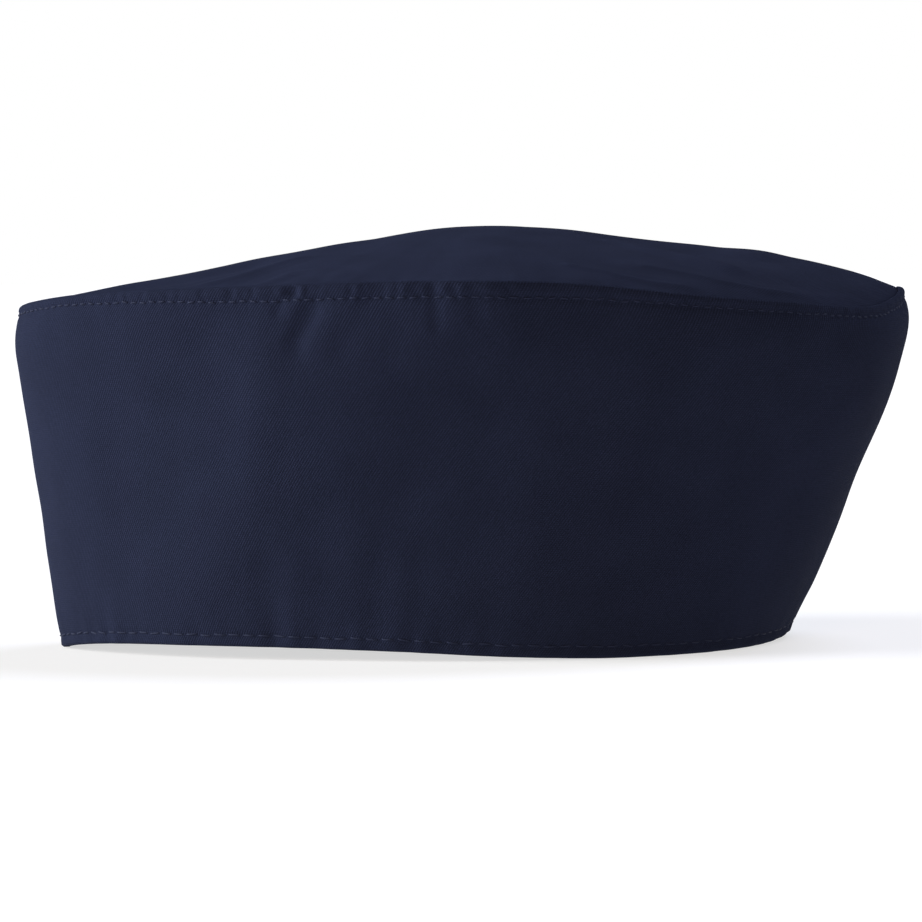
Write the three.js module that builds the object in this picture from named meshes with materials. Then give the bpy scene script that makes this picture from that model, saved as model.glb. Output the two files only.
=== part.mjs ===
// A chef's skull cap in navy twill, standing on its rim: a deep side band that leans outwards,
// with a hem turned up inside at the head opening and its top edge folded over, and an oval crown
// panel whose edge is turned down inside that fold. Both pieces are hollow walls of cloth.
//
// Millimetres, +Z up, +X towards the back of the head and -Y the side of the cap that is looked at.
// The origin is on the surface that the cap rests on, under the middle of its outline.
import * as THREE from "three";

// Head opening and side band, measured over the outside of the cloth
const rimLength = 200; // front to back of the head opening
const rimWidth = 162; // side to side of the head opening
const bandHeight = 95; // rest surface to the top fold, at the very front and back
const frontFlare = 11; // how far the band leans out past the rim in front
const backFlare = 34.5; // behind, where it overhangs the most
const sideFlare = 11; // and at each side
const rimArch = 3.4; // how far the rim lifts off the surface beside the forehead

// Crown
const crownRise = 19.2; // from the band's front and back edges up to the peak
const peakSetBack = 5; // the peak lies this far behind the middle
const lipHeight = 1.1; // the band's top fold stands this much over the crown's edge

// Cloth and its turnings
const clothThickness = 1.2;
const hemHeight = 6;
const hemThickness = 2.2;
const topFoldHeight = 11;
const topFoldThickness = 2.2;
const foldRounding = 0.3; // of its thickness, taken off each edge of the top fold
const turnDown = 8; // how far the crown's edge reaches down inside the band
const seamClearance = 0.35;

// Folds and dents of the soft cloth
const foldHeight = 1.6; // the strongest crease, out of the surface
const foldReach = 15; // half the width of the widest crease
const heldWidth = 10; // next to its seam the crown is held down, over this width at the sides

// How finely the cloth is divided into facets
const stepsAround = 96;
const outerSteps = 11;
const innerSteps = 8; // between the two turnings

// Side profile of the band. Height is a share of the way up it, and the other columns are shares
// of the front, back and side flare.
const bandProfile = [
  { height: 0.0, front: 0.0, back: 0.0, side: 0.0 },
  { height: 0.1, front: 0.12, back: 0.13, side: 0.13 },
  { height: 0.25, front: 0.29, back: 0.33, side: 0.32 },
  { height: 0.45, front: 0.52, back: 0.56, side: 0.56 },
  { height: 0.65, front: 0.74, back: 0.8, side: 0.78 },
  { height: 0.8, front: 0.9, back: 0.94, side: 0.92 },
  { height: 0.91, front: 1.0, back: 1.0, side: 1.0 },
  { height: 1.0, front: 0.9, back: 0.955, side: 0.94 },
];

// How pointed the outline is towards the front: 0 is an ellipse
const rimEgg = 0.28;
const crownEgg = 0.12;

// Upper and lower edge of the band. Around is in degrees from the middle of the back, alike on
// both sides; seam is a share of the band's height, and lift a share of the rim's arch. The first
// and last rows lie past the back and front, and keep the edges level there.
const bandEdges = [
  { around: -12, seam: 0.976, lift: 0.0 },
  { around: 0, seam: 1.012, lift: 0.0 },
  { around: 12, seam: 0.976, lift: 0.0 },
  { around: 26, seam: 0.956, lift: 0.0 },
  { around: 44, seam: 0.974, lift: 0.0 },
  { around: 60, seam: 1.0, lift: 0.0 },
  { around: 77, seam: 1.038, lift: 0.28 },
  { around: 96, seam: 1.05, lift: 0.78 },
  { around: 120, seam: 1.042, lift: 1.0 },
  { around: 145, seam: 1.028, lift: 0.75 },
  { around: 165, seam: 1.004, lift: 0.3 },
  { around: 180, seam: 0.99, lift: 0.0 },
  { around: 195, seam: 1.004, lift: 0.3 },
];

// Height of the crown from its peak out to its edge. Out is a share of the way, and the other
// columns are shares of the rise towards the front, the back and each side. The first row lies
// past the peak, and keeps the crown level there.
const crownProfile = [
  { out: -0.1, front: 0.955, back: 0.99, side: 0.985 },
  { out: 0.0, front: 1.0, back: 1.0, side: 1.0 },
  { out: 0.1, front: 0.955, back: 0.99, side: 0.985 },
  { out: 0.25, front: 0.8, back: 0.9, side: 0.93 },
  { out: 0.45, front: 0.555, back: 0.72, side: 0.78 },
  { out: 0.62, front: 0.35, back: 0.595, side: 0.58 },
  { out: 0.72, front: 0.245, back: 0.515, side: 0.45 },
  { out: 0.8, front: 0.165, back: 0.425, side: 0.33 },
  { out: 0.87, front: 0.115, back: 0.305, side: 0.22 },
  { out: 0.94, front: 0.055, back: 0.155, side: 0.105 },
  { out: 1.0, front: 0.0, back: 0.0, side: 0.0 },
];

// Creases of the crown, seen from above. x and y are shares of half its length and half its
// width, reach is a share of foldReach and height a share of foldHeight.
const crownFolds = [
  { x1: 0.3, y1: -0.15, x2: 0.62, y2: -0.55, reach: 0.65, height: 0.55 },
  { x1: 0.26, y1: -0.76, x2: 0.62, y2: -0.86, reach: 0.5, height: 0.75 },
  { x1: 0.54, y1: -0.6, x2: 0.88, y2: -0.46, reach: 0.6, height: 0.9 },
  { x1: -0.66, y1: -0.62, x2: -0.36, y2: -0.34, reach: 0.6, height: 0.8 },
  { x1: -0.44, y1: -0.8, x2: -0.27, y2: -0.84, reach: 0.5, height: 0.55 },
];

// Creases and dents of the near side of the band, seen from that side. x is a share of half the
// crown's length and z of the band's height; a negative height is a dent.
const bandFolds = [
  { x1: -0.52, z1: 0.9, x2: -0.52, z2: 0.5, reach: 0.9, height: 0.6 },
  { x1: -0.53, z1: 0.45, x2: -0.7, z2: 0.1, reach: 1.0, height: 0.7 },
  { x1: -0.36, z1: 0.98, x2: -0.42, z2: 0.84, reach: 0.6, height: -0.9 },
  { x1: -0.3, z1: 0.96, x2: -0.34, z2: 0.8, reach: 0.5, height: 0.5 },
];

// Sizes that follow from the ones above
const crownLength = rimLength + frontFlare + backFlare;
const crownWidth = rimWidth + 2 * sideFlare;
const rimFront = frontFlare - crownLength / 2;
const rimBack = crownLength / 2 - backFlare;
const peakHeight = bandHeight + crownRise;

// Levels of the crown seam, as shares of the way up the band. The turned edge and the fold around
// it bend at the same levels, so the gap between them stays even.
const turnTop = 1 - (lipHeight + clothThickness / 2) / bandHeight;
const turnBottom = 1 - (lipHeight + turnDown) / bandHeight;
const turnMiddle = (turnTop + turnBottom) / 2;
const turnDepth = topFoldThickness + seamClearance; // from the outside of the band

// Value of one column of a table at a place between its rows, on a smooth curve through them.
function tableValue(table, key, column, at) {
  const last = table.length - 1;
  const place = THREE.MathUtils.clamp(at, table[0][key], table[last][key]);
  let row = 0;
  while (row < last - 1 && place > table[row + 1][key]) row += 1;
  const slope = (i) => {
    const before = table[Math.max(i - 1, 0)];
    const after = table[Math.min(i + 1, last)];
    return (after[column] - before[column]) / (after[key] - before[key]);
  };
  const start = table[row];
  const end = table[row + 1];
  const span = end[key] - start[key];
  const t = (place - start[key]) / span;
  const rising = t * t * (3 - 2 * t);
  const startBend = t * (1 - t) * (1 - t) * span * slope(row);
  const endBend = t * t * (t - 1) * span * slope(row + 1);
  return start[column] * (1 - rising) + end[column] * rising + startBend + endBend;
}

// Height of a soft crease at a distance from its line: 1 on the line and 0 past its reach.
function creaseShape(distance, reach) {
  const t = distance / reach;
  return t < 1 ? (1 - t * t) ** 2 : 0;
}

// Distance from a point to the stretch of line between two others, all in one plane.
function distanceToLine(px, py, ax, ay, bx, by) {
  const alongX = bx - ax;
  const alongY = by - ay;
  const share = ((px - ax) * alongX + (py - ay) * alongY) / (alongX ** 2 + alongY ** 2);
  const t = THREE.MathUtils.clamp(share, 0, 1);
  return Math.hypot(px - ax - t * alongX, py - ay - t * alongY);
}

// Degrees from the middle of the back, the same on both sides.
function degreesFromBack(angle) {
  return Math.abs(THREE.MathUtils.radToDeg(Math.atan2(Math.sin(angle), Math.cos(angle))));
}

// Outline of the band at a share of its height: an egg whose narrow end is the front.
function outlinePoint(angle, up) {
  const front = rimFront - frontFlare * tableValue(bandProfile, "height", "front", up);
  const back = rimBack + backFlare * tableValue(bandProfile, "height", "back", up);
  const halfWidth = rimWidth / 2 + sideFlare * tableValue(bandProfile, "height", "side", up);
  const egg = THREE.MathUtils.lerp(rimEgg, crownEgg, up);
  const widestCosine = (Math.sqrt(1 + 8 * egg ** 2) - 1) / (4 * egg);
  const widest = Math.sqrt(1 - widestCosine ** 2) * (1 + egg * widestCosine);
  const width = (Math.sin(angle) * (1 + egg * Math.cos(angle))) / widest;
  return new THREE.Vector2(
    (front + back) / 2 + ((back - front) / 2) * Math.cos(angle),
    halfWidth * width,
  );
}

function bandEdgeHeight(angle, up) {
  const around = degreesFromBack(angle);
  const bottom = rimArch * Math.max(0, tableValue(bandEdges, "around", "lift", around));
  const top = bandHeight * tableValue(bandEdges, "around", "seam", around);
  return THREE.MathUtils.lerp(bottom, top, up);
}

// How far the creases push the near side of the band outwards.
function bandRelief(point, height) {
  if (point.y >= 0) return 0;
  const halfLength = crownLength / 2;
  return bandFolds.reduce((sum, fold) => {
    const distance = distanceToLine(
      point.x,
      height,
      fold.x1 * halfLength,
      fold.z1 * bandHeight,
      fold.x2 * halfLength,
      fold.z2 * bandHeight,
    );
    return sum + foldHeight * fold.height * creaseShape(distance, foldReach * fold.reach);
  }, 0);
}

// Point of the band at an angle, a share of the way up, and a depth into the cloth from outside.
function bandPoint(angle, up, depth) {
  const tiny = 1e-3;
  const outline = outlinePoint(angle, up);
  const tangent = outlinePoint(angle + tiny, up).sub(outlinePoint(angle - tiny, up)).normalize();
  const height = bandEdgeHeight(angle, up);
  const inwards = depth - bandRelief(outline, height);
  return new THREE.Vector3(
    outline.x - tangent.y * inwards,
    outline.y + tangent.x * inwards,
    height,
  );
}

// Height of the crown's outside at a share of the way out from its peak.
function crownHeight(angle, out, edgeHeight, x, y) {
  const towardsSide = Math.sin(angle) ** 2;
  const endColumn = Math.cos(angle) > 0 ? "back" : "front";
  const end = tableValue(crownProfile, "out", endColumn, out);
  const side = tableValue(crownProfile, "out", "side", out);
  const share = end + (side - end) * towardsSide;
  const freeFromSeam = Math.min(1, ((1 - out) * crownWidth) / (2 * heldWidth));
  const creases = crownFolds.reduce((sum, fold) => {
    const distance = distanceToLine(
      x,
      y,
      (fold.x1 * crownLength) / 2,
      (fold.y1 * crownWidth) / 2,
      (fold.x2 * crownLength) / 2,
      (fold.y2 * crownWidth) / 2,
    );
    return sum + foldHeight * fold.height * creaseShape(distance, foldReach * fold.reach);
  }, 0);
  return edgeHeight + (peakHeight - edgeHeight) * share + creases * freeFromSeam;
}

// Point of the crown's outside at an angle and a share of the way out to its edge, which follows
// the inside of the band's top fold.
function crownPoint(angle, out) {
  const edge = bandPoint(angle, 1, turnDepth);
  const x = THREE.MathUtils.lerp(peakSetBack, edge.x, out);
  const y = edge.y * out;
  return new THREE.Vector3(x, y, crownHeight(angle, out, edge.z - lipHeight, x, y));
}

// Skin of a solid that goes all the way round: sectionAt gives its cross-section at an angle. The
// section closes on itself, or it starts and ends on two points that all the sections share.
function sweepAround(sectionAt, closesOnItself) {
  const sections = Array.from({ length: stepsAround }, (_, i) =>
    sectionAt((i / stepsAround) * 2 * Math.PI),
  );
  const rows = sections[0].length;
  const corner = (i, j) => {
    if (!closesOnItself && (j === 0 || j === rows - 1)) return j;
    return (i % stepsAround) * rows + (j % rows);
  };
  const triangles = [];
  const addTriangle = (a, b, c) => {
    if (a !== b && b !== c && c !== a) triangles.push(a, b, c);
  };
  for (let i = 0; i < stepsAround; i += 1) {
    for (let j = 0; j < (closesOnItself ? rows : rows - 1); j += 1) {
      const here = corner(i, j);
      const nextUp = corner(i, j + 1);
      const beside = corner(i + 1, j);
      const besideUp = corner(i + 1, j + 1);
      addTriangle(here, beside, besideUp);
      addTriangle(here, besideUp, nextUp);
    }
  }
  const geometry = new THREE.BufferGeometry().setFromPoints(sections.flat());
  geometry.setIndex(triangles);
  geometry.computeVertexNormals();
  return geometry;
}

// Cross-section of the band: up the outside, over the rounded top fold, down the inside of the
// turned edge, down the single cloth, and round the hem to its flat foot.
function bandSection(angle) {
  const hemTop = hemHeight / bandHeight;
  const foldBottom = 1 - topFoldHeight / bandHeight;
  const taper = (2 * clothThickness) / bandHeight; // over which the edge of a turning thins out
  const section = [];
  for (let i = 0; i <= outerSteps; i += 1) {
    section.push(bandPoint(angle, (i / outerSteps) * turnTop, 0));
  }
  section.push(bandPoint(angle, 1, topFoldThickness * foldRounding));
  section.push(bandPoint(angle, 1, topFoldThickness * (1 - foldRounding)));
  [turnTop, turnMiddle, turnBottom, foldBottom].forEach((up) => {
    section.push(bandPoint(angle, up, topFoldThickness));
  });
  for (let i = 0; i <= innerSteps; i += 1) {
    const up = THREE.MathUtils.lerp(foldBottom - taper, hemTop + taper, i / innerSteps);
    section.push(bandPoint(angle, up, clothThickness));
  }
  section.push(bandPoint(angle, hemTop, hemThickness));
  section.push(bandPoint(angle, 0, hemThickness));
  return section;
}

// Cross-section of the crown: from under its peak out along the underside, down and up round the
// turned edge inside the band, and back over the top to the peak.
function crownSection(angle) {
  const rings = crownProfile.map((row) => row.out).slice(1, -1);
  const outerEdge = 1 - clothThickness / crownWidth;
  const innerEdge = outerEdge - (1.5 * clothThickness) / crownWidth; // clear of the turned edge
  const underside = [...rings, innerEdge].map((out) => {
    const point = crownPoint(angle, out);
    point.z -= clothThickness;
    return point;
  });
  return [
    ...underside,
    bandPoint(angle, turnMiddle, turnDepth + clothThickness),
    bandPoint(angle, turnBottom, turnDepth + clothThickness),
    bandPoint(angle, turnBottom, turnDepth),
    bandPoint(angle, turnMiddle, turnDepth),
    bandPoint(angle, turnTop, turnDepth),
    ...[outerEdge, ...rings.reverse()].map((out) => crownPoint(angle, out)),
  ];
}

function clothMesh(name, geometry, colour) {
  const material = new THREE.MeshStandardMaterial({ color: colour, roughness: 0.9, metalness: 0 });
  const mesh = new THREE.Mesh(geometry, material);
  mesh.name = name;
  return mesh;
}

const cap = new THREE.Group();
cap.add(clothMesh("side_band", sweepAround(bandSection, true), 0x262c42));
cap.add(clothMesh("crown_panel", sweepAround(crownSection, false), 0x282d40));

export default cap;
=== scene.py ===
import math
import bpy
import numpy as np
from mathutils import Matrix, Vector


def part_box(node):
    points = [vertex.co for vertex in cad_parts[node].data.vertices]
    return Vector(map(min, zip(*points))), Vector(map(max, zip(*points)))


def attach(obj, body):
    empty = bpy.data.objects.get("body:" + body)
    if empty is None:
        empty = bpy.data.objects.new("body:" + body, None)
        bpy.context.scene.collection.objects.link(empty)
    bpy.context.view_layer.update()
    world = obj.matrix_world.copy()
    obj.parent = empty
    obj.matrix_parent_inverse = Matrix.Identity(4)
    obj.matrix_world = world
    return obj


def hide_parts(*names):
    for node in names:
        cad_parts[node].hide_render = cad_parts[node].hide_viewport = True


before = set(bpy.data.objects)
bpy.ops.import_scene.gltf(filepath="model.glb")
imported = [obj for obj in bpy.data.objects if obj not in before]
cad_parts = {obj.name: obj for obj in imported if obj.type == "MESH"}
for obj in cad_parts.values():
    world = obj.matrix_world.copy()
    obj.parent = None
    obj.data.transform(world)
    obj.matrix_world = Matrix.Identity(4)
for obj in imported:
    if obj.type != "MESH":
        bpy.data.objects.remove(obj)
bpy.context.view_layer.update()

mm = 0.001
bandLow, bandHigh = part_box("side_band")
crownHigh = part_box("crown_panel")[1]
print("frame loaded")


# Camera at the photograph's angle: a little above the cap, looking slightly down
cameraSettings = {
    "lookAt": (-1.0, 0.0, 49.5),
    "distance": 1500.0,
    "height": 105.0,
    "rollDegrees": -0.92,
    "pixelSize": 0.276,  # mm that one pixel covers at the cap's middle
    "imagePixels": 922,
    "sensorWidth": 36.0,
    "clipMetres": (0.05, 100.0),
}


def makeCamera(settings):
    target = Vector(settings["lookAt"]) * mm
    place = Vector((target.x, -settings["distance"] * mm, settings["height"] * mm))
    away = (target - place).length
    data = bpy.data.cameras.new("camera")
    data.sensor_width = settings["sensorWidth"]
    viewWidth = settings["pixelSize"] * settings["imagePixels"] * mm
    data.lens = settings["sensorWidth"] * away / viewWidth
    data.clip_start, data.clip_end = settings["clipMetres"]
    camera = bpy.data.objects.new("camera", data)
    turn = (target - place).to_track_quat("-Z", "Y").to_matrix().to_4x4()
    roll = Matrix.Rotation(math.radians(settings["rollDegrees"]), 4, "Z")
    camera.matrix_world = Matrix.Translation(place) @ turn @ roll
    bpy.context.scene.collection.objects.link(camera)
    bpy.context.scene.camera = camera


makeCamera(cameraSettings)
print("camera placed")


# Highest point of the band's upper edge, at the side of the head, as a share of the band's height
highestEdge = 1.05

# Form of the cap, in mm. Leans are how far the band stands out past the rim at its widest level,
# and a profile has rows of (share of the way up or out, share of that lean or rise). topEdge and
# rimLift have rows of (degrees from the back, share of the band's height or of the rim's arch).
capForm = {
    "length": (bandHigh.x - bandLow.x) / mm,
    "width": (bandHigh.y - bandLow.y) / mm,
    "bandHeight": bandHigh.z / mm / highestEdge,
    "peakHeight": crownHigh.z / mm,
    "frontLean": 11.0,
    "backLean": 34.5,
    "sideLean": 11.0,
    "rimEgg": 0.28,
    "crownEgg": 0.12,
    "rimArch": 3.4,
    "peakSetBack": 5.0,
    "frontProfile": [(0, 0), (0.1, 0.16), (0.25, 0.35), (0.45, 0.57),
                     (0.65, 0.76), (0.8, 0.9), (0.91, 1), (1, 0.9)],
    "backProfile": [(0, 0), (0.1, 0.13), (0.25, 0.33), (0.45, 0.56),
                    (0.65, 0.8), (0.8, 0.94), (0.91, 1), (1, 0.955)],
    "sideProfile": [(0, 0), (0.1, 0.13), (0.25, 0.32), (0.45, 0.56),
                    (0.65, 0.77), (0.8, 0.9), (0.91, 0.98), (1, 1.015)],
    "topEdge": [(-12, 0.983), (0, 1.008), (12, 0.983), (26, 0.956), (44, 0.974), (60, 1),
                (77, 1.038), (96, highestEdge), (120, 1.042), (145, 1.028), (165, 1.004),
                (180, 0.99), (195, 1.004)],
    "rimLift": [(-12, 0.3), (0, 0.4), (12, 0.3), (26, 0.1), (44, 0), (60, 0), (77, 0.28),
                (96, 0.78), (120, 1.03), (145, 0.88), (165, 0.4), (180, 0), (195, 0.4)],
    "crownFront": [(-0.1, 0.97), (0, 1), (0.1, 0.97), (0.25, 0.83), (0.45, 0.575), (0.62, 0.37),
                   (0.72, 0.262), (0.8, 0.175), (0.87, 0.112), (0.94, 0.05), (1, 0)],
    "crownBack": [(-0.1, 0.975), (0, 1), (0.1, 0.975), (0.25, 0.88), (0.45, 0.69), (0.62, 0.575),
                  (0.72, 0.505), (0.8, 0.42), (0.87, 0.305), (0.94, 0.16), (1, 0)],
    "crownSide": [(-0.1, 0.985), (0, 1), (0.1, 0.985), (0.25, 0.93), (0.45, 0.78), (0.62, 0.58),
                  (0.72, 0.45), (0.8, 0.33), (0.87, 0.22), (0.94, 0.105), (1, 0)],
}

# Cloth and its turnings, in mm. The upper row of stitches is given as rows of (degrees from the
# back, distance below the top fold).
sewing = {
    "cloth": 1.2,
    "hemThickness": 2.2,
    "hemHeight": 6.0,
    "hemRounding": 0.5,
    "foldThickness": 1.4,
    "foldHeight": 11.0,
    "lipHeight": 0.12,  # of the fold, above the crown's edge
    "turnDown": 8.0,
    "seamGap": 0.12,
    "hemStitchUp": 3.1,  # above the foot of the hem
    "seamStitchDown": [(0, 2.8), (40, 2.8), (55, 2.9), (64, 3.1), (72, 3.7), (82, 4.2), (100, 4.3),
                       (116, 4.2), (130, 3.5), (145, 2.8), (165, 2.6), (180, 2.6)],
    "hemStitchPitch": 4.8,
    "hemStitchLength": 3.9,
    "seamStitchPitch": 3.0,
    "seamStitchLength": 2.2,
    "threadWidth": 0.5,
}

# Rows and columns of the meshes, and the heights in mm over which the band's rows lie closer
meshSteps = {
    "aroundTable": 7200, "bandAround": 900, "hemRows": 12, "hemZone": 8, "wallRows": 37,
    "lipRows": 24, "lipZone": 15, "rollRows": 6, "foldRows": 5, "inside": 10,
    "crownAround": 640, "crownOut": 64, "crownEdge": 26, "turnRows": 4,
    "underEvery": 3,  # steps between the rings of the top that the underside takes
    "underShort": 4,  # rings at the edge of the top that it leaves out
}
tinyStep = 1e-3  # of an angle or a share, for slopes


# Smooth curve through rows of (place, value). Between two rows it is the cubic that meets both
# values, with each row's slope taken from the rows on either side of it.
def smoothTable(rows, at):
    places, values = np.array(rows, float).T
    last = len(places) - 1
    index = np.arange(last + 1)
    before = np.maximum(index - 1, 0)
    after = np.minimum(index + 1, last)
    slope = (values[after] - values[before]) / (places[after] - places[before])
    at = np.clip(at, places[0], places[-1])
    row = np.clip(np.searchsorted(places, at, side="right") - 1, 0, last - 1)
    span = places[row + 1] - places[row]
    t = (at - places[row]) / span
    rising = t * t * (3 - 2 * t)
    bend = t * (1 - t) ** 2 * slope[row] + t * t * (t - 1) * slope[row + 1]
    return values[row] * (1 - rising) + values[row + 1] * rising + span * bend


# 1 on the middle line and 0 past the reach, as the square of one minus the squared share of it
def softRidge(distance, reach):
    return np.clip(1 - (distance / reach) ** 2, 0, 1) ** 2


# 0 below the low edge and 1 above the high one. Between them it rises as three times the square
# less twice the cube of the share of the way.
def smoothStep(low, high, at):
    t = np.clip((at - low) / (high - low), 0, 1)
    return t * t * (3 - 2 * t)


# Shortest distance from (a, b) to a line through points: the least of that to each stretch
def lineDistance(a, b, points):
    nearest = np.full(np.broadcast(a, b).shape, np.inf)
    for (a1, b1), (a2, b2) in zip(points[:-1], points[1:]):
        stepA, stepB = a2 - a1, b2 - b1
        t = np.clip(((a - a1) * stepA + (b - b1) * stepB) / (stepA ** 2 + stepB ** 2), 0, 1)
        nearest = np.minimum(nearest, np.hypot(a - a1 - t * stepA, b - b1 - t * stepB))
    return nearest


# Sum of soft ridges along several lines, each of its own half width and height
def foldRelief(a, b, folds):
    return sum(
        height * softRidge(lineDistance(a, b, points), reach) for points, reach, height in folds
    )


waveSpread = (0.75, 1.35)  # of the lengths of cloth waves, as shares of their kind's wavelength


# Slow unevenness of cloth: a sum of plane waves in random directions, of about one wavelength,
# scaled to a spread of one
def clothWaves(points, kind, count=14):
    chance = np.random.default_rng(kind["seed"])
    total = np.zeros(points.shape[:-1])
    for _ in range(count):
        direction = chance.normal(size=3)
        direction /= np.linalg.norm(direction)
        length = kind["wavelength"] * chance.uniform(*waveSpread)
        total += np.sin(points @ direction * (2 * np.pi / length) + chance.uniform(0, 2 * np.pi))
    return total * math.sqrt(2 / count)


# Outline of the band at a share of its height: an egg. It is a circle stretched to the length and
# width of that level, with its width scaled by one plus the egg share of the cosine, and divided
# by the most that this scaled circle comes to, so that the level's width holds.
def outline(angle, up):
    halfLength = capForm["length"] / 2
    frontLean, backLean, sideLean = capForm["frontLean"], capForm["backLean"], capForm["sideLean"]
    front = -halfLength + frontLean * (1 - smoothTable(capForm["frontProfile"], up))
    back = halfLength - backLean * (1 - smoothTable(capForm["backProfile"], up))
    halfWidth = capForm["width"] / 2 - sideLean * (1 - smoothTable(capForm["sideProfile"], up))
    egg = capForm["rimEgg"] + (capForm["crownEgg"] - capForm["rimEgg"]) * up
    widestCosine = (np.sqrt(1 + 8 * egg ** 2) - 1) / (4 * egg)
    widest = np.sqrt(1 - widestCosine ** 2) * (1 + egg * widestCosine)
    x = (front + back) / 2 + (back - front) / 2 * np.cos(angle)
    y = halfWidth * np.sin(angle) * (1 + egg * np.cos(angle)) / widest
    return x, y


# Degrees from the back of the cap, the same on both of its sides
def fromBack(angle):
    return np.abs(np.degrees(np.arctan2(np.sin(angle), np.cos(angle))))


# Height of the foot and of the top fold at an angle
def bandEdges(angle):
    around = fromBack(angle)
    foot = capForm["rimArch"] * np.maximum(0, smoothTable(capForm["rimLift"], around))
    top = capForm["bandHeight"] * smoothTable(capForm["topEdge"], around)
    return foot, top


# Length along the band's middle level from the middle of the back, as a running sum of short steps
fineAngles = np.linspace(0, 2 * np.pi, meshSteps["aroundTable"] + 1)
fineX, fineY = outline(fineAngles, 0.5)
fineLengths = np.concatenate([[0], np.cumsum(np.hypot(np.diff(fineX), np.diff(fineY)))])
girth = fineLengths[-1]


def angleAt(along):
    return np.interp(along, fineLengths, fineAngles)


# Puckers along a seam of the whole girth: a sum of waves that each fit a whole number of times,
# scaled to a spread of one
def seamPuckers(along, kind, count=16):
    chance = np.random.default_rng(kind["seed"])
    total = np.zeros(np.shape(along))
    for _ in range(count):
        times = round(girth / chance.uniform(*kind["waves"]))
        total += np.sin(2 * np.pi * times * along / girth + chance.uniform(0, 2 * np.pi))
    return total * math.sqrt(2 / count)


# Distance of the upper row of stitches below the top fold
def seamDownAt(along):
    return smoothTable(sewing["seamStitchDown"], fromBack(angleAt(along)))


# Soft turns of the near side of the band from one flat stretch to the next, which its folded top
# follows too. Seen from that side, each is a line through points (x, z), its half width and its
# height, in mm.
bandTurns = [
    ([(-2, 97), (-12, 90), (-23, 84.5), (-34, 76.5), (-41, 68), (-46, 55.5), (-48.5, 43), (-55, 29),
      (-64, 15), (-71, 5)], 36, 3.0),
    ([(8, 99), (5, 91)], 31, 1.4),
    ([(9, 102), (7, 97)], 17, 1.1),
    ([(-108, 92), (-107, 70), (-105, 45), (-100.5, 20), (-98, 4)], 12, 0.5),
    ([(66, 85), (50, 72), (43.5, 55), (42.5, 43), (35, 27), (27, 18), (14, 8)], 11, 0.4),
]

# Folds of the near side of the band, given in the same way. A negative height is a dent.
bandFolds = [
    ([(-50.5, 88), (-52, 74), (-53, 61), (-56, 43), (-61.5, 29), (-68.5, 18), (-75.5, 6)], 9, 0.25),
    ([(-51, 26), (-51.5, 14), (-51.5, 1)], 6.5, -0.4),
    ([(-24, 62), (-25, 40), (-26, 6)], 17, 0.55),
    ([(-30.5, 26), (-30, 4)], 7, 0.25),
    ([(-17, 32), (-16.5, 4)], 6, 0.25),
    ([(-39.5, 92.5), (-40.8, 89), (-43, 84)], 4.4, -0.84),
    ([(-31, 96), (-31.6, 91.5), (-34, 87), (-37, 83.5)], 6.2, 0.62),
    ([(-20, 98), (-24, 84)], 9, 0.5),
    ([(-46.5, 97), (-48, 92)], 2.4, -0.4),
    ([(-7, 98), (-9, 84)], 11, 0.45),
    ([(-6.2, 97), (-6.4, 88)], 3.0, -0.5),
    ([(3.8, 96), (4.4, 89)], 3.5, -0.4),
    ([(11, 96), (13, 84)], 6, 0.35),
]

# Dimples where the seam pulls in the near side of the lip: place x, half width and depth, in mm
lipDents = [
    (-95, 1.5, 0.35), (-92.2, 1.0, 0.2), (-89.2, 1.1, 0.2), (-85, 1.3, 0.22), (-77.6, 1.8, 0.3),
    (-69, 1.6, 0.15), (-60.4, 2.2, 0.42), (-55, 1.6, 0.15), (-44, 3.3, 1.4), (-40, 1.6, 0.5),
    (-28.4, 1.7, 0.4), (-20.3, 1.8, 0.4), (-16.2, 1.8, 0.3), (-12, 2, 0.46), (-7, 2.6, 0.6),
    (-1.9, 2, 0.46), (3.4, 2.4, 0.38), (12.4, 2.6, 0.4), (21, 2.2, 0.25), (28, 2, 0.25),
    (37, 2.4, 0.22), (49, 2.2, 0.18), (58, 2.6, 0.18),
]

# Unevenness of the band's cloth, in mm. Waves run all over it, and puckers lie along a seam, where
# waves gives the shortest and longest of them and reach how soon they fade away from it. Each is
# drawn from a seed of its own.
bandCloth = {
    "nearSideFrom": 25.0,  # the near side's folds are whole this far from the middle
    "foldsHeldFrom": (1.5, 6.5),  # below the top fold, which holds the folds down
    "wavesHeldOver": 14.0,  # next to the hem and to the top fold
    "slowWaves": {"height": 0.32, "wavelength": 60, "seed": 3, "whereHeld": 0.35},
    "shortWaves": {"height": 0.09, "wavelength": 24, "seed": 5, "whereHeld": 0.4},
    "underSeam": {"height": 0.11, "waves": (6, 15), "seed": 11, "reach": 6},
    "overHem": {"height": 0.10, "waves": (7, 16), "seed": 12, "reach": 5},
    "lip": {"height": 0.075, "waves": (2.6, 7), "seed": 13},
    "farLip": {"height": 0.1, "waves": (4, 11), "seed": 14},
    "pulledFrom": (-52, -44),  # x where the seam starts to pull on the near side
    "pulledTo": (0, 30),  # and where it leaves off
    "pullElsewhere": 0.35,
}

# Small forms of the band's outer face, in mm
bandFace = {
    "lipPuff": 0.34,  # of the cloth above the upper stitches
    "puffWidth": 4.3,  # height of the lip where it has that puff
    "puffMargin": 0.3,  # of the puff past the lip's own edges
    "hemStep": 0.24,  # how far the foot of the hem stands out
    "seamGroove": {"depth": 0.28, "reach": 1.5, "beat": 0.25},
    "hemGroove": {"depth": 0.2, "reach": 1.2, "beat": 0.3},
    "joinGroove": {"depth": 0.7, "reach": 1.3},  # at the middle of the back
    "joinRidge": {"height": 0.28, "offset": 3.2, "reach": 3.6},  # over the turnings beside it
}


# 0 on the far side and 1 on the near side, with a smooth change at the front and the back
def nearSideShare(y):
    return smoothStep(0, bandCloth["nearSideFrom"], -y)


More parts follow.
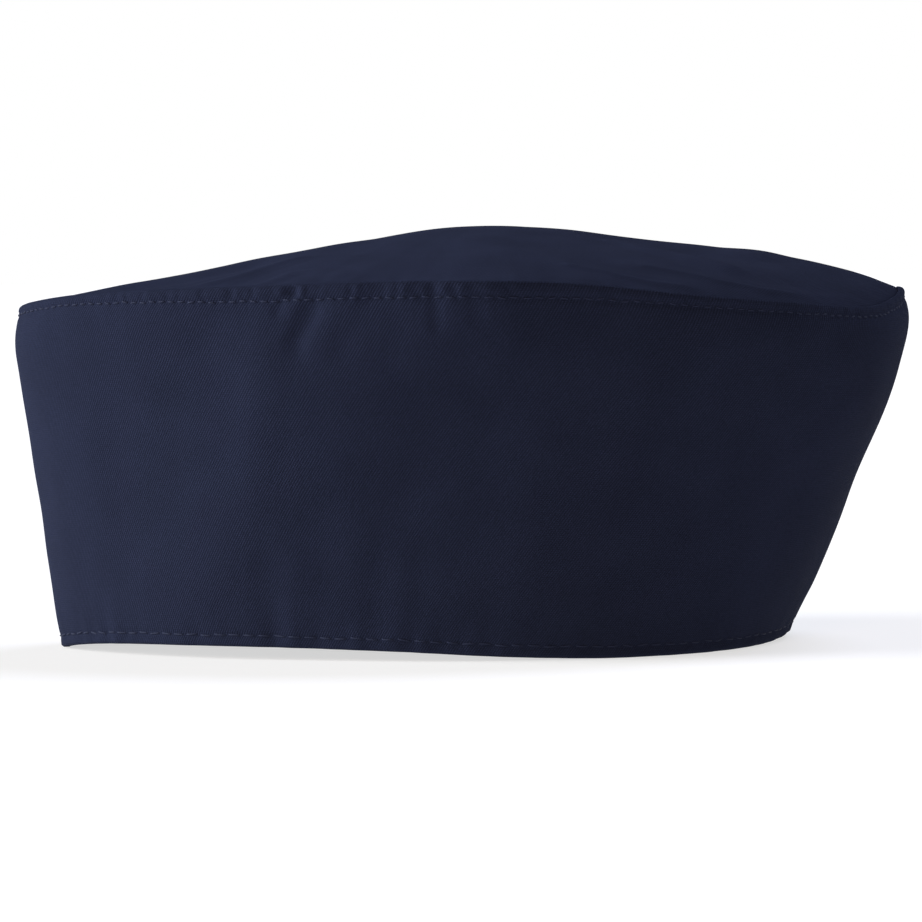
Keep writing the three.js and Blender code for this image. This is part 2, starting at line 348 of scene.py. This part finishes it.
# Fading of puckers away from their seam, by the exponential of the distance over their reach
def fading(distance, kind):
    return np.exp(-np.maximum(distance, 0) / kind["reach"])


# How far the folds and waves push the whole wall outwards, at points (x, y, z) of the band
def broadBandRelief(points, along, fromFoot, fromTop):
    x, y, z = np.moveaxis(points, -1, 0)
    nearSide = nearSideShare(y)
    relief = nearSide * foldRelief(x, z, bandFolds) * smoothStep(*bandCloth["foldsHeldFrom"], fromTop)
    relief = relief + nearSide * foldRelief(x, z, bandTurns)
    heldOver = bandCloth["wavesHeldOver"]
    free = smoothStep(0, heldOver, fromFoot) * smoothStep(0, heldOver, fromTop)
    for kind in (bandCloth["slowWaves"], bandCloth["shortWaves"]):
        share = kind["whereHeld"] + (1 - kind["whereHeld"]) * free
        relief = relief + kind["height"] * clothWaves(points, kind) * share
    elsewhere = bandCloth["pullElsewhere"]
    pulled = (1 - elsewhere) * nearSide * smoothStep(*bandCloth["pulledFrom"], x)
    pulled = elsewhere + pulled * (1 - smoothStep(*bandCloth["pulledTo"], x))
    kind = bandCloth["underSeam"]
    underSeam = kind["height"] * pulled * fading(fromTop - seamDownAt(along), kind)
    relief = relief + underSeam * seamPuckers(along, kind)
    kind = bandCloth["overHem"]
    overHem = kind["height"] * fading(fromFoot - sewing["hemStitchUp"], kind)
    return relief + overHem * seamPuckers(along, kind)


# Pitch of a row of stitches, let out so that a whole number of them goes round
def stitchStep(key):
    return girth / round(girth / sewing[key])


# Groove that a row of stitches pulls in: a soft ridge, stronger and weaker in time with them
def stitchGroove(groove, offset, along, pitchKey):
    beat = np.cos(2 * np.pi * along / stitchStep(pitchKey))
    return groove["depth"] * softRidge(offset, groove["reach"]) * (1 + groove["beat"] * beat)


# Small forms of the outside alone: the puffed lip, the hem, the rows of stitches and the join
def fineBandRelief(x, y, along, fromFoot, fromTop):
    seamDown, hemUp = seamDownAt(along), sewing["hemStitchUp"]
    nearSide = nearSideShare(y)
    lipLevel = softRidge(fromTop - seamDown / 2, seamDown / 2 + bandFace["puffMargin"])
    puff = bandFace["lipPuff"] * (seamDown / bandFace["puffWidth"]) ** 2
    lip = lipLevel * (puff + bandCloth["lip"]["height"] * seamPuckers(along, bandCloth["lip"]))
    kind = bandCloth["farLip"]
    lip = lip + kind["height"] * (1 - nearSide) * lipLevel * seamPuckers(along, kind)
    for place, reach, depth in lipDents:
        lip = lip - nearSide * depth * lipLevel * softRidge(x - place, reach)
    hem = bandFace["hemStep"] * (1 - smoothStep(0, hemUp, fromFoot))
    seamRow = stitchGroove(bandFace["seamGroove"], fromTop - seamDown, along, "seamStitchPitch")
    hemRow = stitchGroove(bandFace["hemGroove"], fromFoot - hemUp, along, "hemStitchPitch")
    offJoin = np.minimum(along, girth - along)
    ridge, groove = bandFace["joinRidge"], bandFace["joinGroove"]
    join = ridge["height"] * softRidge(offJoin - ridge["offset"], ridge["reach"])
    join = join - groove["depth"] * softRidge(offJoin, groove["reach"])
    return lip + hem - seamRow - hemRow + join


# Point of the band at a length along it, a share of the way up, and a depth in mm into the cloth:
# the outline's point at that level, moved along the outline's normal. outside is 1 where the small
# forms of the outer face show and 0 where they don't.
def bandPoint(along, up, depth, outside):
    angle = angleAt(along)
    x, y = outline(angle, up)
    foot, top = bandEdges(angle)
    z = foot + (top - foot) * up
    stepX, stepY = outline(angle + tinyStep, up)
    backX, backY = outline(angle - tinyStep, up)
    tangentX, tangentY = stepX - backX, stepY - backY
    size = np.hypot(tangentX, tangentY)
    tangentX, tangentY = tangentX / size, tangentY / size
    fromFoot, fromTop = z - foot, top - z
    points = np.stack(np.broadcast_arrays(x, y, z), axis=-1)
    relief = broadBandRelief(points, along, fromFoot, fromTop)
    relief = relief + outside * fineBandRelief(x, y, along, fromFoot, fromTop)
    inwards = depth - relief
    moved = np.broadcast_arrays(x - tangentY * inwards, y + tangentX * inwards, z)
    return np.stack(moved, axis=-1)


# Closed mesh of a grid of points, which wraps round in its first direction, and in its second too
# unless it ends on two poles. The cloth map holds two lengths in mm for each corner of the grid.
def gridMesh(name, grid, clothMap, poles=None):
    columns, rows = grid.shape[:2]
    i = np.arange(columns)[:, None]
    j = np.arange(rows if poles is None else rows - 1)[None, :]
    pairs = ((i, j), (i + 1, j), (i + 1, j + 1), (i, j + 1))
    corners = [np.broadcast_arrays(*pair) for pair in pairs]
    quads = np.stack([a % columns * rows + b % rows for a, b in corners], axis=-1)
    mapped = np.stack([clothMap[a, b] for a, b in corners], axis=-2).reshape(-1, 2)
    vertices = grid.reshape(-1, 3)
    faces = quads.reshape(-1, 4).tolist()
    if poles is not None:
        around = np.arange(columns)
        beside = (around + 1) % columns
        for pole, ring, turned in ((poles[0], 0, True), (poles[1], rows - 1, False)):
            peak = np.full(columns, len(vertices))
            vertices = np.vstack([vertices, pole["point"]])
            here, after = around * rows + ring, beside * rows + ring
            fan = (peak, after, here) if turned else (peak, here, after)
            sides = (clothMap[1:, ring], clothMap[:-1, ring])
            middle = np.tile(pole["map"], (columns, 1))
            fanMap = (middle, *sides) if turned else (middle, *sides[::-1])
            faces += np.stack(fan, axis=-1).tolist()
            mapped = np.vstack([mapped, np.stack(fanMap, axis=1).reshape(-1, 2)])
    mesh = bpy.data.meshes.new(name)
    mesh.from_pydata((vertices * mm).tolist(), [], faces)
    mesh.uv_layers.new(name="cloth").data.foreach_set("uv", (mapped * mm).ravel())
    return finishMesh(name, mesh)


def finishMesh(name, mesh):
    mesh.polygons.foreach_set("use_smooth", np.ones(len(mesh.polygons), bool))
    mesh.update()
    piece = bpy.data.objects.new(name, mesh)
    bpy.context.scene.collection.objects.link(piece)
    return piece


# Cross-section of the band as rows of (share of the way up, depth, share of the outer face's
# small forms): up the outside, over the rolled fold, down the inside, and round the hem.
def bandSection():
    height = capForm["bandHeight"]
    cloth, hem, fold = sewing["cloth"], sewing["hemThickness"], sewing["foldThickness"]
    corner = sewing["hemRounding"]
    taper = 0.008  # of the height, over which the cut edge of a turning thins out
    hemZoneTop = meshSteps["hemZone"] / height
    lipZoneFoot = 1 - meshSteps["lipZone"] / height
    rollStart = 1 - fold / 2 / height
    outside = np.concatenate([
        np.linspace(corner / height, hemZoneTop, meshSteps["hemRows"] + 1)[:-1],
        np.linspace(hemZoneTop, lipZoneFoot, meshSteps["wallRows"] + 1)[:-1],
        np.linspace(lipZoneFoot, rollStart, meshSteps["lipRows"]),
    ])
    rows = [(up, 0, 1) for up in outside]
    for turn in np.linspace(0, math.pi, meshSteps["rollRows"] + 2)[1:-1]:
        up = rollStart + fold / 2 / height * math.sin(turn)
        rows.append((up, fold / 2 * (1 - math.cos(turn)), (1 + math.cos(turn)) / 2))
    foldEnd = 1 - sewing["foldHeight"] / height
    rows += [(up, fold, 0) for up in np.linspace(rollStart, foldEnd, meshSteps["foldRows"])]
    hemTop = sewing["hemHeight"] / height
    single = np.linspace(foldEnd - taper, hemTop + taper, meshSteps["inside"])
    rows += [(up, cloth, 0) for up in single]
    rows += [(up, hem, 0) for up in (hemTop, hemTop / 2, corner / height)]
    rows += [(0, hem - corner, 0), (0, hem / 2, 0.2), (0, corner, 0.8)]
    return np.array(rows).T


# The band is its cross-section at even lengths along it. Its cloth map is that length, and the
# length along the section from the foot of the outside.
def makeBand():
    along = np.linspace(0, girth, meshSteps["bandAround"] + 1)
    up, depth, outside = bandSection()
    grid = bandPoint(along[:, None], up[None, :], depth[None, :], outside[None, :])
    steps = np.linalg.norm(np.diff(grid, axis=1, append=grid[:, :1]), axis=2)
    lengths = np.concatenate([np.zeros((len(along), 1)), np.cumsum(steps, axis=1)], axis=1)
    clothMap = np.stack(np.broadcast_arrays(along[:, None], lengths), axis=-1)
    return gridMesh("band_cloth", grid[:-1], clothMap)


# Folds of the crown, seen from above: a line through points (x, y), half width and height, in mm
crownFolds = [
    ([(-76, -71), (-68, -66), (-59, -62), (-53, -56.5), (-44, -51)], 7, 0.5),
    ([(-68, -66), (-59, -62), (-53, -56.5), (-44, -51)], 3, 0.3),
    ([(-86, -46), (-72, -48), (-58, -43)], 10, -0.8),
    ([(-48, -73.5), (-44.5, -69), (-40, -70), (-37, -73.5), (-31, -79.5)], 4.2, 0.42),
    ([(28, -75), (41, -79), (49, -79.5), (57, -79.5), (66, -79.5)], 2.4, 0.45),
    ([(28, -73), (41, -77.5), (57, -77.5)], 7, 0.3),
    ([(45, -65), (59, -66), (68, -67.5), (80.5, -64.5), (92, -58), (100.4, -53), (108, -44)], 7, 0.4),
    ([(48, -66.5), (59, -67.5), (68, -69), (80.5, -66), (92, -59.5), (100.4, -54)], 2.4, 0.46),
    ([(90, -61.5), (98, -55), (105, -46)], 3, -0.3),
    ([(44, -24), (49, -31), (54, -37), (62, -45), (70, -50)], 8, 1.1),
    ([(-6, 12), (6, 12)], 26, 0.75),
    ([(83, 35), (81, 0), (80, -14)], 11, 0.65),
    ([(-30, 52), (-62, 60)], 8, 0.7),
    ([(40, 40), (72, 62)], 9, 0.8),
    ([(60, 26), (98, 30)], 8, 0.5),
]

# Unevenness of the crown's cloth, given in the same way as the band's
crownCloth = {
    "heldOver": 5.0,  # next to its seam
    "slowWaves": {"height": 0.3, "wavelength": 55, "seed": 21},
    "shortWaves": {"height": 0.1, "wavelength": 20, "seed": 22},
    "edgePuckers": {"height": 0.1, "waves": (5, 13), "seed": 23, "rise": 2, "reach": 5},
}


# Point of the crown's outside at a length along its edge and a share of the way out to it from the
# peak. The edge follows the inside of the band's fold. The height goes from the edge's up to the
# peak's by the profiles, which turn into one another with the squared sine of the angle.
def crownPoint(along, out):
    angle = angleAt(along)
    depth = sewing["foldThickness"] + sewing["seamGap"]
    edge = bandPoint(along, 1, depth, 0)
    edgeX, edgeY, edgeZ = np.moveaxis(edge, -1, 0)
    edgeHeight = edgeZ - sewing["lipHeight"]
    x = capForm["peakSetBack"] * (1 - out) + edgeX * out
    y = edgeY * out
    towardsSide = np.sin(angle) ** 2
    back = smoothTable(capForm["crownBack"], out)
    front = smoothTable(capForm["crownFront"], out)
    end = np.where(np.cos(angle) > 0, back, front)
    share = end + (smoothTable(capForm["crownSide"], out) - end) * towardsSide
    z = edgeHeight + (capForm["peakHeight"] - edgeHeight) * share
    fromEdge = (1 - out) * np.hypot(edgeX - capForm["peakSetBack"], edgeY)
    held = smoothStep(0, crownCloth["heldOver"], fromEdge)
    points = np.stack(np.broadcast_arrays(x, y, z), axis=-1)
    relief = held * foldRelief(x, y, crownFolds)
    kinds = (crownCloth["slowWaves"], crownCloth["shortWaves"])
    relief = relief + held * sum(kind["height"] * clothWaves(points, kind) for kind in kinds)
    kind = crownCloth["edgePuckers"]
    puckers = kind["height"] * seamPuckers(along, kind) * smoothStep(0, kind["rise"], fromEdge)
    relief = relief + puckers * fading(fromEdge, kind)
    return np.stack(np.broadcast_arrays(x, y, z + relief), axis=-1)


# The crown's rings go out from the peak along the underside, fewer than on top, then down and up
# round the turned edge, and back over the top to the peak. Its cloth map is laid flat: each point's
# distance from the peak along the cloth, at its angle.
def makeCrown():
    along = np.linspace(0, girth, meshSteps["crownAround"] + 1)[:, None]
    cloth, height = sewing["cloth"], capForm["bandHeight"]
    depth = sewing["foldThickness"] + sewing["seamGap"]
    firstRing, closerFrom, lastRing = 0.014, 0.8, 0.997  # shares of the way out
    meanRadius = 100  # mm
    out = np.concatenate([
        np.linspace(firstRing, closerFrom, meshSteps["crownOut"]),
        np.linspace(closerFrom, lastRing, meshSteps["crownEdge"])[1:],
    ])[None, :]
    top = crownPoint(along, out)
    under = top[:, :-meshSteps["underShort"]:meshSteps["underEvery"]] - [0, 0, cloth]
    turnTop = 1 - (sewing["lipHeight"] + cloth / 4) / height
    turnBottom = 1 - (sewing["lipHeight"] + sewing["turnDown"]) / height
    levels = np.linspace(turnTop, turnBottom, meshSteps["turnRows"])[None, :]
    turnIn = bandPoint(along, levels[:, 1:], depth + cloth, 0)
    turnOut = bandPoint(along, levels[:, ::-1], depth, 0)
    grid = np.concatenate([under, turnIn, turnOut, top[:, ::-1]], axis=1)
    steps = np.linalg.norm(np.diff(grid, axis=1), axis=2)
    lengths = np.concatenate([np.zeros((len(along), 1)), np.cumsum(steps, axis=1)], axis=1)
    lengths = lengths[:, -1:] - lengths + firstRing * meanRadius
    angle = angleAt(along)
    clothMap = np.stack([lengths * np.cos(angle), lengths * np.sin(angle)], axis=-1)
    peak = crownPoint(np.array(0.0), np.array(0.0))
    poles = (
        {"point": peak - [0, 0, cloth], "map": (lengths[0, 0], 0.0)},
        {"point": peak, "map": (0.0, 0.0)},
    )
    return gridMesh("crown_cloth", grid[:-1], clothMap, poles)


# Stitches, in mm
stitchForm = {
    "rise": 0.22,  # of a stitch's middle above its ends
    "endsBelow": 0.12,  # the surface
    "tighter": 0.17,  # how much deeper the thread is pulled in at the back of the cap
    "tighterFrom": (5, 65),  # x over which it gets so
    "slant": 0.15,  # spread of how far a stitch's two ends stray from the row, to either side
    "scatter": 0.1,  # spread of how far the whole stitch does
    "endTaper": 0.45,  # of the thread's width, where it dips into the cloth
    "rings": 7,  # of each thread's mesh
    "sides": 6,
}


# Row of stitches: each is a short thread of round section that rises out of the cloth and dips
# back in. Its middle line is the band's surface plus a height of one minus the fourth power of
# the share of the way to its ends, less a depth that grows towards the back of the cap. Its width
# falls off with the sixth power of that share.
def makeStitches(row, upAt):
    pitch, length = sewing[row + "StitchPitch"], sewing[row + "StitchLength"]
    rings, sides = stitchForm["rings"], stitchForm["sides"]
    count = round(girth / pitch)
    step = girth / count
    share = np.linspace(-1, 1, rings)
    along = (np.arange(count)[:, None] + 0.5) * step + share[None, :] * length / 2
    chance = np.random.default_rng(count)
    slant = chance.normal(0, stitchForm["slant"], (count, 1)) * share[None, :]
    scatter = chance.normal(0, stitchForm["scatter"], (count, 1))
    up = upAt(along) + (slant + scatter) / capForm["bandHeight"]
    nudge = 0.05  # mm along the row, for its slope
    centre = bandPoint(along, up, 0, 1)
    forward = bandPoint(along + nudge, up, 0, 1) - bandPoint(along - nudge, up, 0, 1)
    upward = bandPoint(along, up + tinyStep, 0, 1) - bandPoint(along, up - tinyStep, 0, 1)
    forward /= np.linalg.norm(forward, axis=-1, keepdims=True)
    outward = np.cross(forward, upward)
    outward /= np.linalg.norm(outward, axis=-1, keepdims=True)
    upward = np.cross(outward, forward)
    rise = stitchForm["rise"] * (1 - share ** 4) - stitchForm["endsBelow"]
    deeper = stitchForm["tighter"] * smoothStep(*stitchForm["tighterFrom"], centre[..., 0])
    centre = centre + outward * (rise[None, :] - deeper)[..., None]
    radius = sewing["threadWidth"] / 2 * (1 - stitchForm["endTaper"] * share ** 6)
    turn = np.linspace(0, 2 * np.pi, sides, endpoint=False)
    ring = outward[:, :, None] * np.cos(turn)[:, None] + upward[:, :, None] * np.sin(turn)[:, None]
    points = centre[:, :, None] + ring * radius[None, :, None, None]
    stitch = np.arange(count)[:, None, None] * rings * sides
    i = np.arange(rings - 1)[None, :, None]
    j = np.arange(sides)[None, None, :]
    nextJ = (j + 1) % sides
    quads = np.stack(np.broadcast_arrays(
        stitch + i * sides + j, stitch + i * sides + nextJ,
        stitch + (i + 1) * sides + nextJ, stitch + (i + 1) * sides + j), axis=-1).reshape(-1, 4)
    firstCap = (stitch[:, 0] + np.arange(sides)[::-1]).tolist()
    lastCap = (stitch[:, 0] + (rings - 1) * sides + np.arange(sides)).tolist()
    name = row + "_stitches"
    mesh = bpy.data.meshes.new(name)
    faces = quads.tolist() + firstCap + lastCap
    mesh.from_pydata((points.reshape(-1, 3) * mm).tolist(), [], faces)
    places = share[None, :, None] * length / 2 * np.ones((count, 1, 1))
    threadMap = np.stack(np.broadcast_arrays(places, turn[None, None, :]), axis=-1)
    corner = np.empty(len(mesh.loops), int)
    mesh.loops.foreach_get("vertex_index", corner)
    mapped = threadMap.reshape(-1, 2)[corner]
    mesh.uv_layers.new(name="thread").data.foreach_set("uv", mapped.ravel())
    return finishMesh(name, mesh)


# Share of the way up the band at which a row of stitches runs. The upper row is set from the top
# fold, and the hem's from the foot.
def seamRowUp(along):
    foot, top = bandEdges(angleAt(along))
    return 1 - seamDownAt(along) / (top - foot)


def hemRowUp(along):
    foot, top = bandEdges(angleAt(along))
    return sewing["hemStitchUp"] / (top - foot)


# sRGB hex value as linear red, green, blue and alpha
def colour(hexValue):
    channels = [int(hexValue[i:i + 2], 16) / 255 for i in (1, 3, 5)]
    linear = [c / 12.92 if c <= 0.04045 else ((c + 0.055) / 1.055) ** 2.4 for c in channels]
    return (*linear, 1.0)


# Adds a node of a kind, with its settings, and with each named input linked or given a value
def addNode(tree, kind, inputs=None, **settings):
    node = tree.nodes.new("ShaderNode" + kind)
    for name, value in settings.items():
        setattr(node, name, value)
    for name, value in (inputs or {}).items():
        if isinstance(value, bpy.types.NodeSocket):
            tree.links.new(value, node.inputs[name])
        else:
            node.inputs[name].default_value = value
    return node


def newMaterial(name):
    material = bpy.data.materials.new(name)
    material.use_nodes = True
    material.node_tree.nodes.clear()
    return material, material.node_tree


# Value of a socket turned from one range into another
def mapRange(tree, value, fromRange, toRange=(0.0, 1.0)):
    return addNode(tree, "MapRange", {
        "Value": value, "From Min": fromRange[0], "From Max": fromRange[1],
        "To Min": toRange[0], "To Max": toRange[1],
    }).outputs[0]


# Mix of the painted groove shade and the cloth's or thread's own colour, which are inputs 6 and 7
# of a colour mix
def mixColours(tree, share, settings):
    return addNode(tree, "Mix", {
        "Factor": share, 6: colour(settings["paintedGrooveShade"]), 7: colour(settings["colour"]),
    }, data_type="RGBA").outputs[2]


# Navy cotton twill, piece dyed and pressed. Its warp floats lie in close diagonal ridges, which
# give the eye a fine slanting line that comes and goes with the light, on an almost matt cloth.
# Shade is painted into the grooves between the ridges: the colour darkens from the cloth's own on
# the ridges to a darker one in the grooves. The crown has the same twill, and shows half its
# depth, in relief and in painted shade, in the flatter light.
twill = {
    "colour": "#24283c",
    # painted shade: the darker colour of the grooves, for the shade that falls in them
    "paintedGrooveShade": "#161a28",
    "walePitch": 0.695,  # mm between the diagonal ridges
    "waleDegrees": 62.0,  # from the direction round the cap
    "waleWander": 1.1,  # how uneven the ridges are
    "weftPitch": 0.54,  # mm between the threads that cross them
    "weftWander": 0.6,
    "fuzzSize": 0.45,  # mm of loose fibre
    "fuzzHeight": 0.3,  # as a share of a ridge's
    "slubSize": 1.0,  # mm over which the yarn grows thicker and thinner
    "slubHeights": (0.4, 1.4),
    "weftHeights": (0.6, 1.4),  # of a ridge between the threads that cross it and on them
    "litHeights": (-0.05, 1.15),  # where the colour is all the groove's and all the ridge's
    "patchSize": 16.0,  # mm over which the dye grows deeper and paler
    "patchShades": (0.93, 1.07),
    "reliefDepth": 0.1,  # mm
    "roughness": 0.9,
    "specular": 0.03,
    "sheen": 0.01,
    "sheenTint": "#8a93b8",
}
noiseMiddle = (0.3, 0.7)  # nearly all of a noise texture's values lie in this range


def makeTwill(name, settings, depthShare=1.0):
    material, tree = newMaterial(name)
    perMetre = 1 / mm
    cloth = addNode(tree, "UVMap", uv_map="cloth").outputs[0]
    turned = addNode(tree, "Mapping", {
        "Vector": cloth,
        "Rotation": (0, 0, math.radians(90 - settings["waleDegrees"])),
    }).outputs[0]
    # A wave texture's period is pi / 10 divided by its scale
    wales = addNode(tree, "TexWave", {
        "Vector": turned,
        "Scale": math.pi / 10 * perMetre / settings["walePitch"],
        "Distortion": settings["waleWander"],
        "Detail": 1.0,
        "Detail Scale": 0.22,
    }, bands_direction="X").outputs["Fac"]
    wefts = addNode(tree, "TexWave", {
        "Vector": cloth,
        "Scale": math.pi / 10 * perMetre / settings["weftPitch"],
        "Distortion": settings["weftWander"],
    }, bands_direction="Y").outputs["Fac"]
    fuzz = addNode(tree, "TexNoise", {
        "Vector": cloth,
        "Scale": perMetre / settings["fuzzSize"],
        "Detail": 3.0,
        "Roughness": 0.6,
    }).outputs["Fac"]
    slubs, patches = (
        addNode(tree, "TexNoise", {
            "Vector": cloth, "Scale": perMetre / settings[size], "Detail": 2.0,
        }).outputs["Fac"]
        for size in ("slubSize", "patchSize")
    )
    # The height is the ridges', times the yarn's fullness and the crossing threads', plus the fuzz
    fullness = mapRange(tree, slubs, noiseMiddle, settings["slubHeights"])
    crossing = mapRange(tree, wefts, (0.0, 1.0), settings["weftHeights"])
    floats = addNode(tree, "Math", {0: wales, 1: fullness}, operation="MULTIPLY").outputs[0]
    ribbed = addNode(tree, "Math", {0: floats, 1: crossing}, operation="MULTIPLY").outputs[0]
    height = addNode(tree, "Math", {
        0: fuzz, 1: settings["fuzzHeight"], 2: ribbed,
    }, operation="MULTIPLY_ADD").outputs[0]
    # Painted shade: the colour darkens with the height, from the cloth's own on the ridges to the
    # groove shade in the hollows, over a span that depthShare sets
    shades = (0.5 - depthShare / 2, 0.5 + depthShare / 2)
    lit = mapRange(tree, height, settings["litHeights"], shades)
    base = mixColours(tree, lit, settings)
    shade = mapRange(tree, patches, noiseMiddle, settings["patchShades"])
    tinted = addNode(tree, "HueSaturation", {"Color": base, "Value": shade}).outputs[0]
    bump = addNode(tree, "Bump", {
        "Height": height, "Strength": 1.0, "Distance": settings["reliefDepth"] * depthShare * mm,
    }).outputs[0]
    shader = addNode(tree, "BsdfPrincipled", {
        "Base Color": tinted,
        "Roughness": settings["roughness"],
        "Specular IOR Level": settings["specular"],
        "Sheen Weight": settings["sheen"],
        "Sheen Roughness": 0.5,
        "Sheen Tint": colour(settings["sheenTint"]),
        "Normal": bump,
    }).outputs[0]
    addNode(tree, "OutputMaterial", {"Surface": shader})
    return material


# Spun polyester sewing thread, dyed to match: two plies twisted together, smoother than the cloth,
# so that each stitch shows as a small lighter dash. The groove between the plies gets painted
# shade: there the colour darkens from the thread's own.
thread = {
    "colour": "#23283f",
    # painted shade: the darker colour of the groove between the plies
    "paintedGrooveShade": "#1c2032",
    "twistPitch": 0.55,  # mm of thread for half a turn of the plies
    "twistDepth": 0.03,  # mm
    "twistStrength": 0.6,
    "litHeights": (-1.0, 0.6),  # where the colour is all the groove's and all the ply's
    "roughness": 0.65,
    "specular": 0.12,
}


def makeThread(name, settings):
    material, tree = newMaterial(name)
    place = addNode(tree, "UVMap", uv_map="thread").outputs[0]
    parts = addNode(tree, "SeparateXYZ", {0: place}).outputs
    angle = addNode(tree, "Math", {
        0: parts[0], 1: 2 * math.pi / settings["twistPitch"], 2: parts[1],
    }, operation="MULTIPLY_ADD").outputs[0]
    plies = addNode(tree, "Math", {0: angle}, operation="SINE").outputs[0]
    # Painted shade: the colour darkens towards the groove between the plies
    base = mixColours(tree, mapRange(tree, plies, settings["litHeights"]), settings)
    bump = addNode(tree, "Bump", {
        "Height": plies,
        "Strength": settings["twistStrength"],
        "Distance": settings["twistDepth"] * mm,
    }).outputs[0]
    shader = addNode(tree, "BsdfPrincipled", {
        "Base Color": base,
        "Roughness": settings["roughness"],
        "Specular IOR Level": settings["specular"],
        "Normal": bump,
    }).outputs[0]
    addNode(tree, "OutputMaterial", {"Surface": shader})
    return material


bandTwill = makeTwill("navy_cotton_twill_band", twill)
crownTwill = makeTwill("navy_cotton_twill_crown", twill, depthShare=0.5)
sewingThread = makeThread("navy_polyester_thread", thread)
print("materials made")

band = makeBand()
crown = makeCrown()
hemStitches = makeStitches("hem", hemRowUp)
seamStitches = makeStitches("seam", seamRowUp)
print("cloth and stitches made")

for piece, material, slotName in (
    (band, bandTwill, "band_twill"),
    (crown, crownTwill, "crown_twill"),
    (hemStitches, sewingThread, "thread"),
    (seamStitches, sewingThread, "thread"),
):
    piece.data.materials.append(material)
    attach(piece, "root")
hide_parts("side_band")
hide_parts("crown_panel")
print("pieces ride on the frame")


# Pale studio: a wide floor that glows faintly, a strong low light from the front of the cap, a
# weaker one from above and behind it, a faint warm one on its near side, and dim white walls.
# A light's share is what a surface facing it gets, where 1 makes white look white.
studio = {
    "white": "#ffffff",
    "floorColour": "#adaaa8",
    "floorRoughness": 0.9,
    "floorSpecular": 0.1,
    "floorGlow": 0.64,  # of white, as on a light table
    "floorSize": 60.0,  # m
    "floorDrop": 0.05,  # mm below the foot of the cap
    "key": {
        "share": 2.12, "colour": "#edf3f8", "heading": -1.0, "elevation": 15.0, "softness": 40.0,
    },
    "top": {
        "share": 0.76, "colour": "#dbe5ff", "heading": 230.0, "elevation": 56.0, "softness": 30.0,
    },
    "near": {
        "share": 0.2, "colour": "#ffdcb4", "heading": 80.0, "elevation": 20.0, "softness": 20.0,
    },
    "wallLight": 0.06,
}


def makeFloor(settings):
    half = settings["floorSize"] / 2
    mesh = bpy.data.meshes.new("studio_floor")
    corners = [(-half, -half, 0), (half, -half, 0), (half, half, 0), (-half, half, 0)]
    mesh.from_pydata(corners, [], [(0, 1, 2, 3)])
    mesh.transform(Matrix.Translation((0, 0, -settings["floorDrop"] * mm)))
    floor = finishMesh("studio_floor", mesh)
    material, tree = newMaterial("matt_white_floor")
    shader = addNode(tree, "BsdfPrincipled", {
        "Base Color": colour(settings["floorColour"]),
        "Roughness": settings["floorRoughness"],
        "Specular IOR Level": settings["floorSpecular"],
        "Emission Color": colour(settings["white"]),
        "Emission Strength": settings["floorGlow"],
    }).outputs[0]
    addNode(tree, "OutputMaterial", {"Surface": shader})
    floor.data.materials.append(material)


# Headings turn from the front of the cap towards the near side, elevations are above the floor, and
# softness is the light's own width, all in degrees.
def makeSun(name, settings):
    data = bpy.data.lights.new(name, "SUN")
    data.energy = settings["share"] * math.pi
    data.color = colour(settings["colour"])[:3]
    data.angle = math.radians(settings["softness"])
    lamp = bpy.data.objects.new(name, data)
    heading, elevation = math.radians(settings["heading"]), math.radians(settings["elevation"])
    flat = math.cos(elevation)
    towards = Vector((-math.cos(heading) * flat, -math.sin(heading) * flat, math.sin(elevation)))
    lamp.rotation_euler = towards.to_track_quat("Z", "Y").to_euler()
    bpy.context.scene.collection.objects.link(lamp)


# The walls light the cap dimly, and the camera sees them white
def makeWorld(settings):
    world = bpy.data.worlds.new("studio")
    world.use_nodes = True
    tree = world.node_tree
    tree.nodes.clear()
    seen = addNode(tree, "LightPath").outputs["Is Camera Ray"]
    walls, back = (
        addNode(tree, "Background", {
            "Color": colour(settings["white"]), "Strength": strength,
        }).outputs[0]
        for strength in (settings["wallLight"], 1.0)
    )
    both = addNode(tree, "MixShader", {0: seen, 1: walls, 2: back}).outputs[0]
    addNode(tree, "OutputWorld", {"Surface": both})
    bpy.context.scene.world = world


makeFloor(studio)
for lightName in ("key", "top", "near"):
    makeSun(lightName + "_light", studio[lightName])
makeWorld(studio)
bpy.context.scene.view_settings.view_transform = "Standard"
bpy.context.scene.view_settings.look = "None"
print("studio lit")
